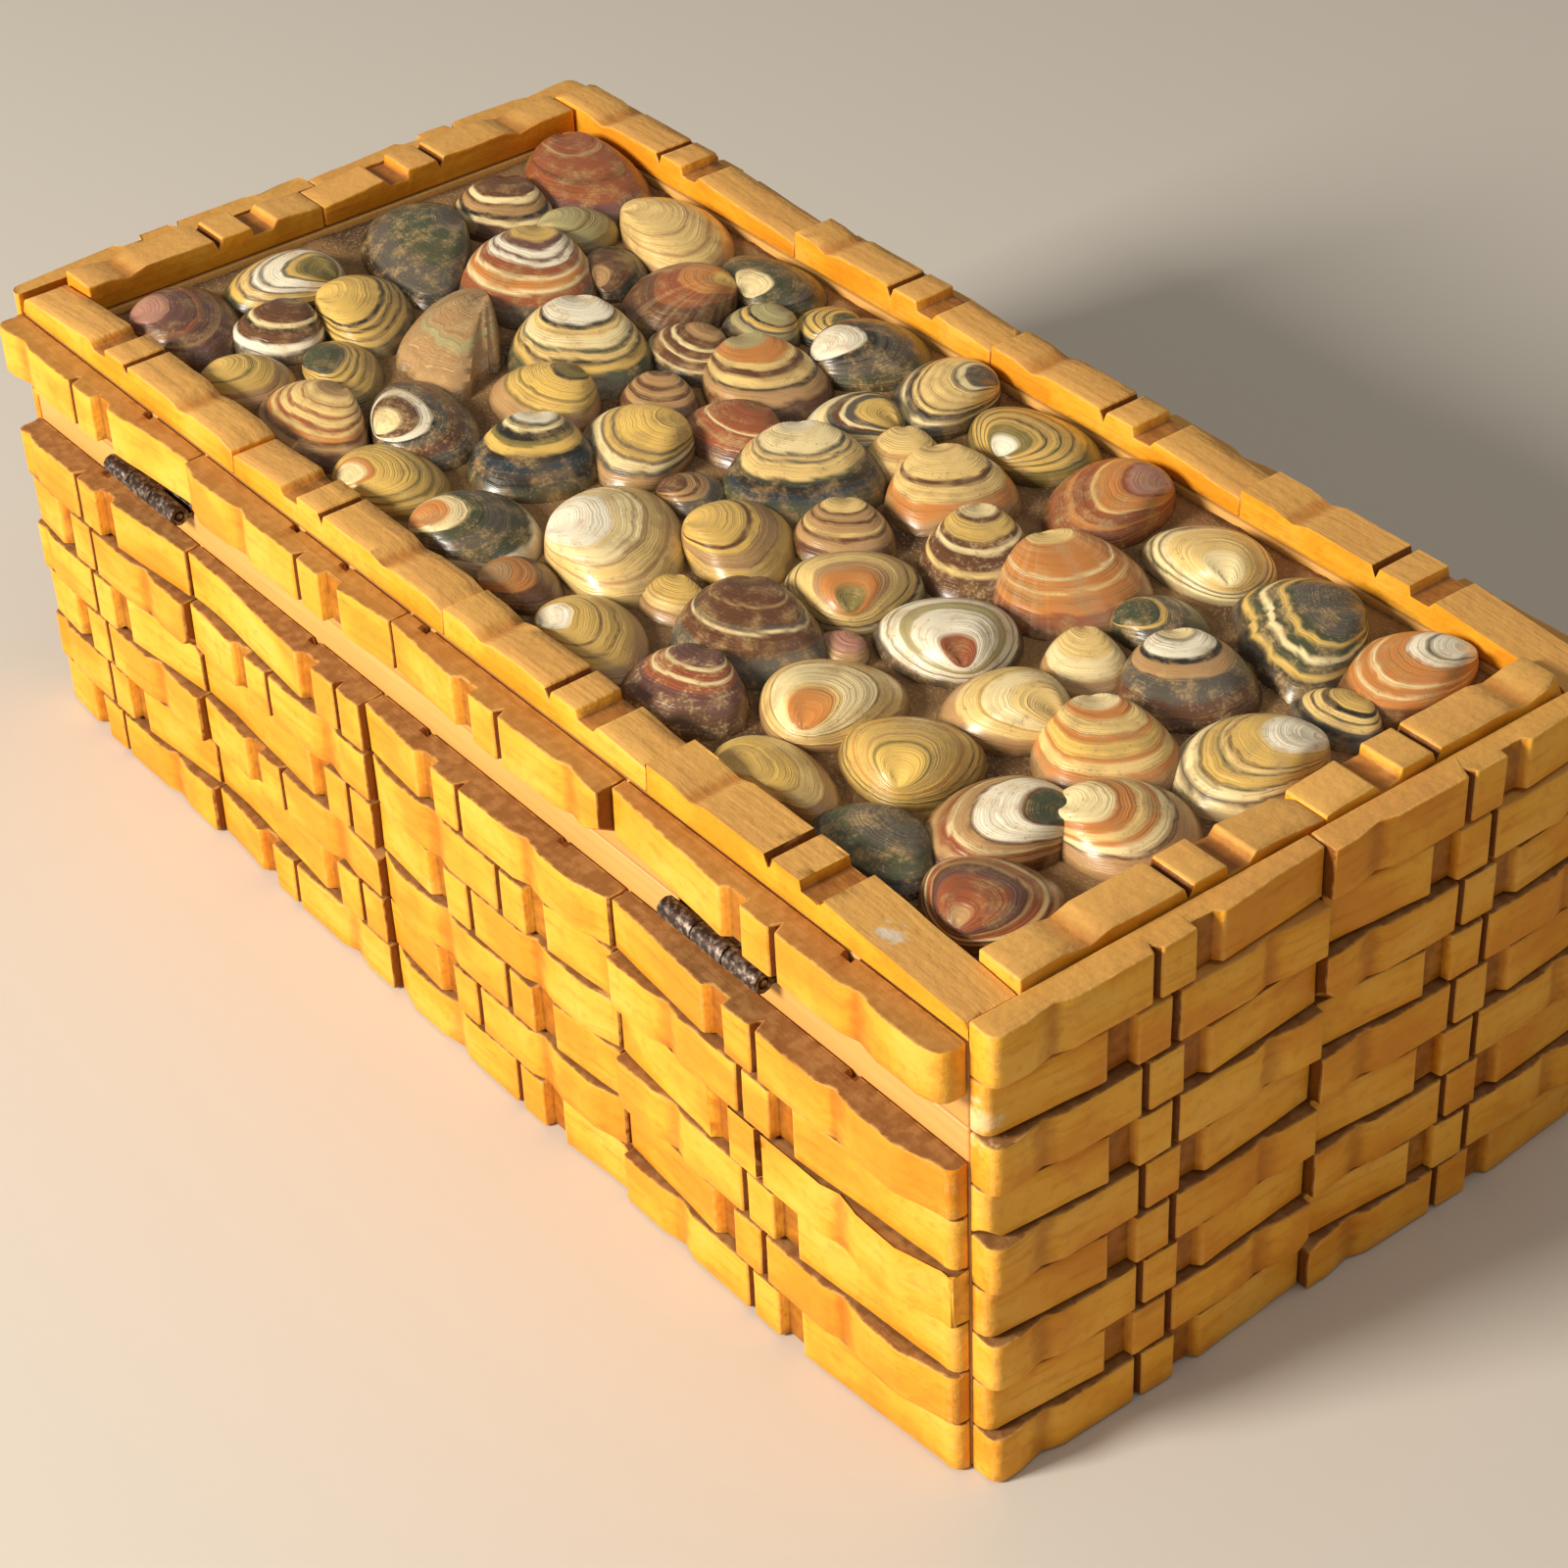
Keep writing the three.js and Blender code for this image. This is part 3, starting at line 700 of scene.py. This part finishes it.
# One row a shell: place x and y, length and width, turn of the long axis, and
# direction of the beak, in millimetres and degrees; then its colours from beak
# to margin, each number being the percentage of growth at which the next
# colour begins; and last how worn it is and how strongly it is rayed.
SHELLS = {
    "shells_far_front": [
        (121, -49, 36, 24, -10, 340, "rust 30 tan 34 rust 62 brown 65 rust 85 mauve", 0.3, 0.0),
        (87, -49, 36, 21, -18, 20, "cream 45 tan 48 cream 70 tan 74 cream 90 tan", 0.2, 0.0),
        (57, -51, 27, 18, 0, 110, "ivory 22 moss 60 slate 75 ink 80 moss", 0.4, 0.0),
        (84, -31, 22, 13, -30, 120, "tan 18 brown 60 ink", 0.2, 0.0),
        (103, -35, 17, 17, 0, 52, "sage 50 olive 55 sage 80 olive", 0.2, 0.0),
        (121, -28, 25, 20, 0, 320,
         "brown 45 ivory 55 brown 60 tan 70 ink 78 ivory 84 brown", 0.2, 0.0),
    ],
    "shells_far_middle": [
        (93, -15, 36, 28, -20, 315,
         "straw 22 mauve 30 white 38 mauve 42 white 48 rust 58 ivory "
         "62 orange 72 ivory 76 rust 87 slate", 0.3, 0.0),
        (119, -5, 42, 22, -25, 270, "slate 20 moss 60 slate 90 ink", 0.5, 0.0),
    ],
    "shells_far_back": [
        (80, 13, 46, 20, -38, 300, "tan 50 sage 60 tan", 1.0, 0.0),
        (104, 18, 31, 19, -25, 40,
         "yellow 55 ink 61 straw 67 ink 71 straw 79 ink 82 straw 90 moss", 0.2, 0.0),
        (125, 24, 26, 22, 90, 215,
         "olive 22 straw 28 slate 32 white 50 slate 54 white 62 slate "
         "66 cream 76 slate 80 straw 88 moss", 0.3, 0.0),
        (108, 36, 20, 19, 0, 300, "brown 50 ivory 58 ink 64 brown 80 white 90 slate", 0.2, 0.0),
        (87, 34, 24, 15, -20, 45,
         "moss 35 slate 42 straw 48 ink 51 straw 60 ink 63 straw 72 "
         "olive 76 straw 88 olive", 0.3, 0.0),
        (123, 49, 30, 22, -20, 60,
         "rose 25 mauve 50 rust 54 mauve 70 tan 73 mauve 85 brown", 0.4, 0.0),
        (95, 51, 19, 18, 0, 50, "straw 40 olive 44 straw 70 tan", 0.1, 0.0),
        (73, 50, 32, 20, -10, 290,
         "tan 18 cream 30 rust 33 cream 44 rust 48 cream 56 rust 62 "
         "cream 68 orange 74 brown 80 tan 86 brown", 0.2, 0.0),
    ],
    "shells_right_front": [
        (64, -33, 26, 23, -60, 232, "yellow 10 orange 35 rust 60 brown", 0.2, 0.1),
        (46, -22, 22, 16, -10, 276,
         "tan 30 brown 45 ivory 51 brown 64 ivory 68 brown 82 ivory 86 ink", 0.1, 0.0),
        (27, -26, 28, 23, 0, 345,
         "sage 22 orange 42 cream 50 brown 60 cream 72 ink 76 tan 88 brown", 0.1, 0.0),
    ],
    "shells_right_middle": [
        (62, -6, 34, 27, -15, 325,
         "white 36 ink 41 cream 50 ivory 62 moss 66 cream 72 ink 76 straw 84 moss", 0.3, 0.0),
        (50, 10, 25, 19, 0, 270,
         "olive 18 ink 23 yellow 55 olive 58 straw 72 olive 76 tan", 0.1, 0.0),
        (33, 25, 25, 24, 0, 320,
         "white 22 moss 27 ivory 33 ink 43 olive 50 yellow 62 ink 70 "
         "navy 82 ink 92 moss", 0.3, 0.0),
    ],
    "shells_right_back": [
        (58, 34, 32, 20, -20, 90,
         "ivory 14 brown 30 white 42 ink 46 slate 60 brown 80 slate", 0.8, 0.0),
        (45, 50, 26, 20, 0, 80,
         "ivory 15 orange 22 yellow 60 olive 63 straw 75 olive 78 straw", 0.1, 0.0),
        (19, 48, 26, 23, 0, 60, "orange 20 ivory 32 moss 50 slate 70 moss 88 white", 0.6, 0.0),
        (0, 51, 18, 14, 0, 60, "tan 30 orange 60 brown", 0.2, 0.0),
    ],
    "shells_centre_front": [
        (44, -39, 18, 14, 0, 270, "sage 45 ink 52 straw 62 slate 68 sage 80 slate", 0.2, 0.0),
        (36, -50, 16, 13, 0, 190,
         "moss 30 straw 38 moss 44 straw 54 ink 58 straw 70 moss 76 straw 88 moss", 0.1, 0.0),
        (21, -48, 24, 24, 0, 75, "white 30 ink 42 slate 50 ink 53 slate 80 moss", 0.6, 0.0),
        (-1, -49, 28, 20, -60, 232,
         "slate 18 ivory 24 slate 28 cream 60 ink 63 cream 68 ink 72 "
         "slate 78 ivory 83 slate", 0.3, 0.0),
        (-26, -50, 29, 21, 0, 100,
         "white 10 olive 22 straw 30 ink 33 straw 45 moss 49 straw 60 "
         "moss 64 straw 78 moss 82 olive", 0.1, 0.0),
        (3, -30, 19, 19, 0, 200,
         "straw 30 slate 42 ivory 48 brown 56 slate 66 ivory 84 white", 0.2, 0.0),
        (-13, -29, 17, 15, -30, 320, "cream 60 orange 64 cream 85 tan", 0.1, 0.0),
        (-51, -47, 30, 22, -65, 232,
         "rose 22 rust 28 orange 50 cream 53 rust 70 orange 75 rust", 0.4, 0.0),
    ],
    "shells_centre_middle": [
        (36, -7, 17, 14, 0, 320,
         "brown 20 tan 40 brown 48 tan 60 brown 68 tan 80 brown", 0.1, 0.0),
        (15, -10, 24, 17, 0, 280, "rust 55 ivory 58 rust 70 tan 73 rust 85 mauve", 0.4, 0.0),
        (-6, -10, 30, 30, 0, 325,
         "white 12 ivory 38 slate 42 cream 46 slate 49 cream 64 moss "
         "69 ink 78 navy 86 moss", 0.2, 0.0),
        (3, 9, 15, 13, 0, 50, "brown 30 tan 40 brown 48 tan 60 slate", 0.3, 0.0),
        (24, 7, 27, 21, -25, 250,
         "yellow 55 slate 60 straw 68 slate 72 ivory 82 slate 88 tan", 0.1, 0.0),
    ],
    "shells_centre_back": [
        (-1, 30, 36, 25, -35, 52,
         "white 35 cream 38 ivory 60 tan 63 cream 80 tan 84 cream", 0.2, 0.0),
        (-23, 33, 16, 11, 0, 320, "straw 60 cream 80 tan", 0.1, 0.0),
    ],
    "shells_left_front": [
        (-29, -27, 25, 24, 0, 335,
         "cream 12 tan 15 cream 50 brown 57 cream 75 orange 90 tan", 0.1, 0.0),
        (-49, -17, 28, 21, -35, 320,
         "ivory 20 brown 26 straw 45 brown 52 ivory 58 brown 75 cream 80 brown", 0.9, 0.0),
    ],
    "shells_left_middle": [
        (-66, 4, 27, 24, 0, 150,
         "rust 14 white 45 sage 60 white 75 slate 78 white 88 slate", 0.3, 0.0),
    ],
    "shells_left_back": [
        (-27, -3, 20, 18, 0, 320,
         "cream 30 brown 34 tan 45 brown 50 tan 62 cream 66 brown 72 tan 84 brown", 0.1, 0.0),
        (-42, 7, 24, 24, 0, 140,
         "olive 12 orange 30 tan 42 cream 70 ink 73 cream 84 slate 90 ivory", 0.3, 0.0),
        (-67, 32, 25, 25, 0, 120,
         "orange 20 cream 26 ivory 60 brown 62 cream 75 tan 78 cream 88 tan", 0.1, 0.0),
        (-55, 20, 12, 9, 0, 270, "rose 60 tan", 0.2, 0.0),
        (-41, 30, 31, 24, 0, 320,
         "brown 35 tan 37 brown 55 slate 60 ivory 62 brown 80 slate", 0.3, 0.0),
        (-23, 51, 28, 18, -12, 45,
         "white 20 straw 45 brown 47 straw 62 brown 64 straw 80 tan", 0.2, 0.0),
        (-48, 49, 25, 20, 0, 300,
         "mauve 30 ivory 34 rust 46 ivory 50 rust 60 mauve 80 brown", 0.9, 0.0),
        (-16, 13, 27, 20, -30, 35, "straw 45 brown 51 yellow 60 tan 80 straw", 0.2, 0.0),
    ],
    "shells_near_front": [
        (-67, -23, 28, 28, 0, 340,
         "cream 18 orange 50 ivory 53 orange 65 cream 68 orange 85 rust", 0.2, 0.1),
        (-78, -48, 26, 20, 0, 150,
         "ivory 20 cream 60 ivory 70 slate 74 ivory 84 moss 88 ivory", 0.1, 0.0),
        (-105, -43, 34, 24, -40, 250,
         "slate 40 moss 48 straw 54 moss 64 ivory 70 moss 80 straw 86 ink 92 slate", 0.5, 0.0),
        (-126, -48, 27, 21, 90, 245,
         "white 20 ink 23 white 34 orange 60 ivory 64 orange 74 ivory "
         "77 orange 86 brown", 0.2, 0.0),
        (-127, -31, 18, 12.5, 0, 270,
         "straw 35 ink 46 cream 58 ink 62 cream 74 slate 80 ink 88 slate", 0.1, 0.0),
        (-87, -27, 19, 16, 0, 52, "moss 35 straw 42 slate 60 moss", 0.5, 0.0),
        (-103, -18, 24, 24, 0, 330,
         "ivory 15 slate 18 white 38 ink 45 tan 60 slate 80 brown", 0.5, 0.0),
        (-87, -9, 19, 15, -30, 320, "cream 50 ivory 80 tan", 0.1, 0.0),
    ],
    "shells_near_middle": [
        (-89, 10, 23, 22, 0, 190, "cream 30 ivory 55 straw 60 cream 80 tan", 0.1, 0.0),
        (-109, 6, 26, 24, 0, 330,
         "ivory 20 orange 30 cream 45 orange 52 yellow 65 orange 70 "
         "cream 80 orange 90 tan", 0.2, 0.0),
        (-127, -10, 28, 23, 90, 240,
         "white 30 straw 50 brown 53 cream 58 moss 61 straw 72 moss 75 "
         "ivory 84 slate 89 ivory", 0.2, 0.0),
    ],
    "shells_near_back": [
        (-113, 33, 29, 23, 90, 220,
         "moss 20 brown 24 white 52 brown 56 tan 66 ivory 70 rust 78 tan 86 brown", 0.2, 0.0),
        (-127, 18, 26, 24, 0, 40,
         "ivory 30 orange 45 cream 55 orange 62 ivory 72 brown 76 tan", 0.3, 0.0),
        (-127, 47, 25, 22, 0, 110,
         "tan 7 rust 35 mauve 45 brown 52 tan 56 rust 68 ivory 74 "
         "brown 80 tan 86 brown", 0.3, 0.0),
        (-104, 52, 26, 17, 0, 270, "slate 50 moss 80 ink", 0.5, 0.0),
        (-89, 32, 25, 23, 0, 130,
         "yellow 22 olive 26 straw 34 tan 37 straw 62 orange 66 straw "
         "78 ink 81 straw 88 moss 92 straw", 0.1, 0.0),
        (-77, 52, 27, 16, 0, 60, "straw 30 yellow 55 cream 80 tan", 0.1, 0.0),
    ],
}

# Margins broken away: the shell's place, direction of the break and its depth.
BROKEN = {(80, 13): (140, 0.3), (-77, 52): (120, 0.2), (-105, -43): (70, 0.22)}
BREAK_START = 0.55
BREAK_STEEPNESS = 5

# The form of every valve: how finely it is modelled, how much larger than its
# row it is made so that neighbours touch, and how far it rises for its width.
VALVE_AROUND = 56
VALVE_RINGS = 44
OVERSIZE = 1.06
RISE_SHARE = 0.33
TALLEST_RISE = 7.6 * MILLIMETRE
SHELL_SHARP_ANGLE = 60
SUNK_IN_BED = 0.2 * MILLIMETRE
RIM_CLEARANCE = 0.2 * MILLIMETRE

# The beak lies near the margin, lower than the crown in front of it. The slopes
# in front of it and behind it are each a pair of powers.
BEAK_REACH = 0.94
BEAK_HEIGHT = 0.62
BEAK_TAPER = 0.16
BEAK_SIDE = 2.2
CROWN = 0.36
SHOULDER = 0.2
FRONT_SLOPE = (2.3, 0.65)
BACK_SLOPE = (2.4, 0.6)

# Growth rings, raised a little one over the next and crowded at the margin,
# the wander of rings and colours, and the pits and waves of wear.
RING_STEP = 0.2 * MILLIMETRE
RING_CROWDING = 1.4
RING_EDGE = 2.5
FEWEST_RINGS = 5
MOST_RINGS = 9
RING_WANDER = 0.03
FINE_WANDER = 0.014
WAVY_MARGIN = 0.03
WORN_PITS = 0.12 * MILLIMETRE

# A valve slopes away, so its colours begin farther along the growth than their
# percentages say. They meet softly, most of all by the beak.
FORESHORTENING = 0.72
SOFT_MEETING = 0.016
SOFT_BEAK = 0.16
SOFT_UNTIL = 0.45

Shell = namedtuple("Shell", "x y length width turn beak colours wear rays")


def growth_colours(text):
    """The colours along the growth as (start, colour) pairs."""
    words = text.split()
    starts = [0.0] + [(float(word) / 100) ** FORESHORTENING for word in words[1::2]]
    return list(zip(starts, (COLOURS[word] for word in words[::2])))


def colour_at(stops, growth):
    """The colour at a growth, softened where two colours meet."""
    colour = stops[0][1]
    for start, following in stops[1:]:
        softness = SOFT_MEETING + SOFT_BEAK * max(0.0, SOFT_UNTIL - start)
        share = min(1.0, max(0.0, (growth - start) / softness + 0.5))
        colour = tuple(a + (b - a) * share for a, b in zip(colour, following))
    return colour


def pointing(angle):
    """The direction at an angle, in the plane of the lid."""
    return Vector((math.cos(angle), math.sin(angle)))


def reach_in(direction, half_length, half_width):
    """How far an oval reaches in a direction."""
    return 1.0 / math.hypot(direction.x / half_length, direction.y / half_width)


def broken_away(facing, direction, depth, seed):
    """The share of the margin that a break has taken away."""
    side = facing.dot(pointing(direction))
    jagged = 0.7 + 0.5 * noise.noise(facing.to_3d() * 5 + seed)
    return depth * jagged * max(0.0, min(1.0, (side - BREAK_START) * BREAK_STEEPNESS))


def dome(growth, hinge_side):
    """A valve's height as a share of its rise, from the beak to the margin."""
    front = 1.0 - (1.0 - BEAK_HEIGHT) * max(0.0, 1.0 - growth / CROWN) ** 2
    past = max(0.0, (growth - SHOULDER) / (1.0 - SHOULDER))
    front *= max(0.0, 1.0 - past ** FRONT_SLOPE[0]) ** FRONT_SLOPE[1]
    behind = BEAK_HEIGHT * max(0.0, 1.0 - growth ** BACK_SLOPE[0]) ** BACK_SLOPE[1]
    return front + (behind - front) * hinge_side ** BEAK_SIDE


def half_ball():
    """The upper half of a ball, open below."""
    mesh = bmesh.new()
    bmesh.ops.create_uvsphere(mesh, u_segments=VALVE_AROUND, v_segments=2 * VALVE_RINGS,
                              radius=1.0)
    below = [corner for corner in mesh.verts if corner.co.z < -1e-4]
    bmesh.ops.delete(mesh, geom=below, context="VERTS")
    return mesh


def make_valve(shell, number, node):
    """One shell: a half ball drawn out to an oval, with its beak to one side."""
    chance = random.Random(number)
    half_length = shell.length * OVERSIZE * MILLIMETRE / 2
    half_width = shell.width * OVERSIZE * MILLIMETRE / 2
    rise = min(RISE_SHARE * shell.width * MILLIMETRE, TALLEST_RISE)
    turn = math.radians(shell.turn)
    broken = BROKEN.get((shell.x, shell.y))
    seed = Vector([chance.uniform(0, 50) for axis in range(3)])
    rings = chance.randint(FEWEST_RINGS, MOST_RINGS)
    towards = pointing(math.radians(shell.beak) - turn)
    beak_length = reach_in(towards, half_length, half_width)
    beak = towards * beak_length * BEAK_REACH
    stops = growth_colours(shell.colours)
    valve = half_ball()
    growth_mark = valve.verts.layers.float.new("growth")
    fan_mark = valve.verts.layers.float.new("fan")
    look_mark = valve.verts.layers.float_vector.new("look")
    colour_mark = valve.verts.layers.float_color.new("bands")
    for corner in valve.verts:
        growth = math.acos(max(-1.0, min(1.0, corner.co.z))) / (math.pi / 2)
        facing = pointing(math.atan2(corner.co.y, corner.co.x))
        reach = reach_in(facing, half_length, half_width)
        reach *= 1.0 + WAVY_MARGIN * noise.noise(facing.to_3d() * 1.3 + seed)
        if broken:
            reach *= 1.0 - broken_away(facing, math.radians(broken[0]) - turn, broken[1], seed)
        margin = facing * reach
        along = margin.dot(towards) / beak_length
        across = margin - towards * margin.dot(towards)
        margin -= across * BEAK_TAPER * along
        plan = beak.lerp(margin, growth)
        hinge_side = 0.5 + 0.5 * facing.dot(towards)
        height = rise * dome(growth, hinge_side)
        wander = RING_WANDER * noise.noise(plan.to_3d() * 160 + seed)
        wander += FINE_WANDER * noise.noise(plan.to_3d() * 500)
        ringed = growth + wander * min(1.0, growth * 3)
        ring = (ringed ** RING_CROWDING * rings) % 1.0
        height += RING_STEP * (0.5 - ring ** RING_EDGE) * growth * min(1.0, (1.0 - growth) * 9)
        height += WORN_PITS * noise.noise(plan.to_3d() * 240 + seed) * (1.0 - growth)
        corner.co = Vector((plan.x, plan.y, max(0.0, height) if growth < 0.999 else 0.0))
        corner[growth_mark] = ringed
        corner[fan_mark] = hinge_side
        corner[look_mark] = Vector((shell.wear, shell.rays, seed.x))
        corner[colour_mark] = colour_at(stops, ringed)
    close(valve)
    middle = (shell.x * MILLIMETRE, shell.y * MILLIMETRE, shell_foot)
    bmesh.ops.rotate(valve, verts=valve.verts, matrix=Matrix.Rotation(turn, 3, "Z"))
    bmesh.ops.translate(valve, verts=valve.verts, vec=middle)
    bmesh.ops.recalc_face_normals(valve, faces=valve.faces)
    keep_inside(valve)
    piece = place_piece(valve, f"shell_{number}", "lid", "shell", shell_finish, node)
    sharpen(piece, SHELL_SHARP_ANGLE)


def keep_inside(valve):
    """Shells by the rim stand against it, never in it."""
    for corner in valve.verts:
        corner.co.x = min(shell_room.x, max(-shell_room.x, corner.co.x))
        corner.co.y = min(shell_room.y, max(-shell_room.y, corner.co.y))


COARSE_LINE = paint(140, 104, 60)
FINE_LINE = paint(90, 66, 40)
# Painted shade along the margin, at a shell's foot.
MARGIN_SHADE = paint(70, 52, 34)
WARM_CLOUD = paint(204, 160, 92)
PALE_RAY = paint(240, 220, 176)
WEATHERED = paint(112, 92, 64)
CHALKY_WEAR = paint(214, 190, 144)
GRIME = paint(60, 44, 30)

shell_finish = Finish("varnished shell")
growth = shell_finish.attribute("growth")
fan = shell_finish.attribute("fan")
look = shell_finish.attribute("look", "Vector")
wear = shell_finish.part(look, "X")
rayed = shell_finish.part(look, "Y")
seed = shell_finish.part(look, "Z")
shell_place = shell_finish.place()
wander = shell_finish.noise(shell_place, 260.0, 3.0)
specks = shell_finish.noise(shell_place, 1500.0, 3.0)
weathered = shell_finish.noise(shell_place, 130.0, 3.0)
fine = shell_finish.line_noise(growth * 60.0 + seed)
coarse = shell_finish.line_noise(growth * 17.0 + seed * 3.0)
rays = shell_finish.line_noise(fan * 14.0 + seed)
aged = shell_finish.step(growth, 0.3, 0.85)
lined = aged * (1 - wear * 0.7) * (0.35 + shell_finish.step(weathered, 0.42, 0.6))
chalky = shell_finish.step(wander * 0.5 + specks * 0.7 + fine * 0.2, 0.7, 0.95)
shell_tone = shell_finish.coats(
    shell_finish.attribute("bands", "Color"),
    (shell_finish.step(coarse, 0.4, 0.75) * lined, 0.36, COARSE_LINE),
    (shell_finish.step(fine, 0.5, 0.75) * lined, 0.34, FINE_LINE),
    # Painted shade at each shell's foot, where it meets the filler.
    (shell_finish.step(growth, 0.93, 1.0), 0.6, MARGIN_SHADE),
    (shell_finish.step(wander, 0.45, 0.75), 0.3, WARM_CLOUD),
    (shell_finish.step(rays + wander * 0.15, 0.56, 0.68), rayed, PALE_RAY),
    (shell_finish.step(weathered, 0.5, 0.68), 0.22, WEATHERED),
    (chalky * (0.2 + wear), 0.7, CHALKY_WEAR),
    (shell_finish.step(specks + wander * 0.3, 0.74, 0.92), 0.4, GRIME),
)
shell_finish.set(Base_Color=shell_tone, Roughness=specks * 0.2 + wander * 0.2 + 0.16)
shell_finish.set(Coat_Weight=0.35, Coat_Roughness=0.22)
shell_finish.relief(fine * 0.4 + coarse * 0.8, 0.5 * MILLIMETRE, 0.6)

# The room that the rim leaves for the shells, and how deep they are set.
rim_inside = Vector((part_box("rim_strip_far_end_1")[0].x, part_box("rim_strip_back_1")[0].y, 0))
shell_room = rim_inside - Vector((1, 1, 0)) * RIM_CLEARANCE
shell_foot = bed_high.z - SUNK_IN_BED
number = 0
for node, rows in SHELLS.items():
    for row in rows:
        number += 1
        make_valve(Shell(*row), number, node)

# ---------------------------------------------------------------------------
# Hinges: two small butt hinges of dark tarnished metal, let into the edges.

METAL_ROUNDING = 0.12 * MILLIMETRE
METAL_EDGE_ANGLE = 50.0
METAL_SHARP_ANGLE = 50
DARK_METAL = paint(74, 60, 52)
BRIGHT_METAL = paint(150, 138, 130)

metal = Finish("tarnished metal")
tarnish = metal.noise(metal.place(), 900.0, 4.0)
metal_tone = metal.mix(metal.step(tarnish, 0.45, 0.7), DARK_METAL, BRIGHT_METAL)
metal.set(Base_Color=metal_tone, Metallic=0.85, Roughness=tarnish * 0.4 + 0.3)
metal.relief(tarnish, 0.2 * MILLIMETRE, 0.5)
for spot in ("near", "far"):
    for part, body in (("base_leaf", "base"), ("lid_leaf", "lid"), ("pin", "base")):
        node = f"hinge_{part}_{spot}"
        mesh = merged_copy(node)
        round_edges(mesh, METAL_ROUNDING, METAL_EDGE_ANGLE)
        piece = place_piece(mesh, node + "_metal", body, "hinge_metal", metal, node)
        sharpen(piece, METAL_SHARP_ANGLE)
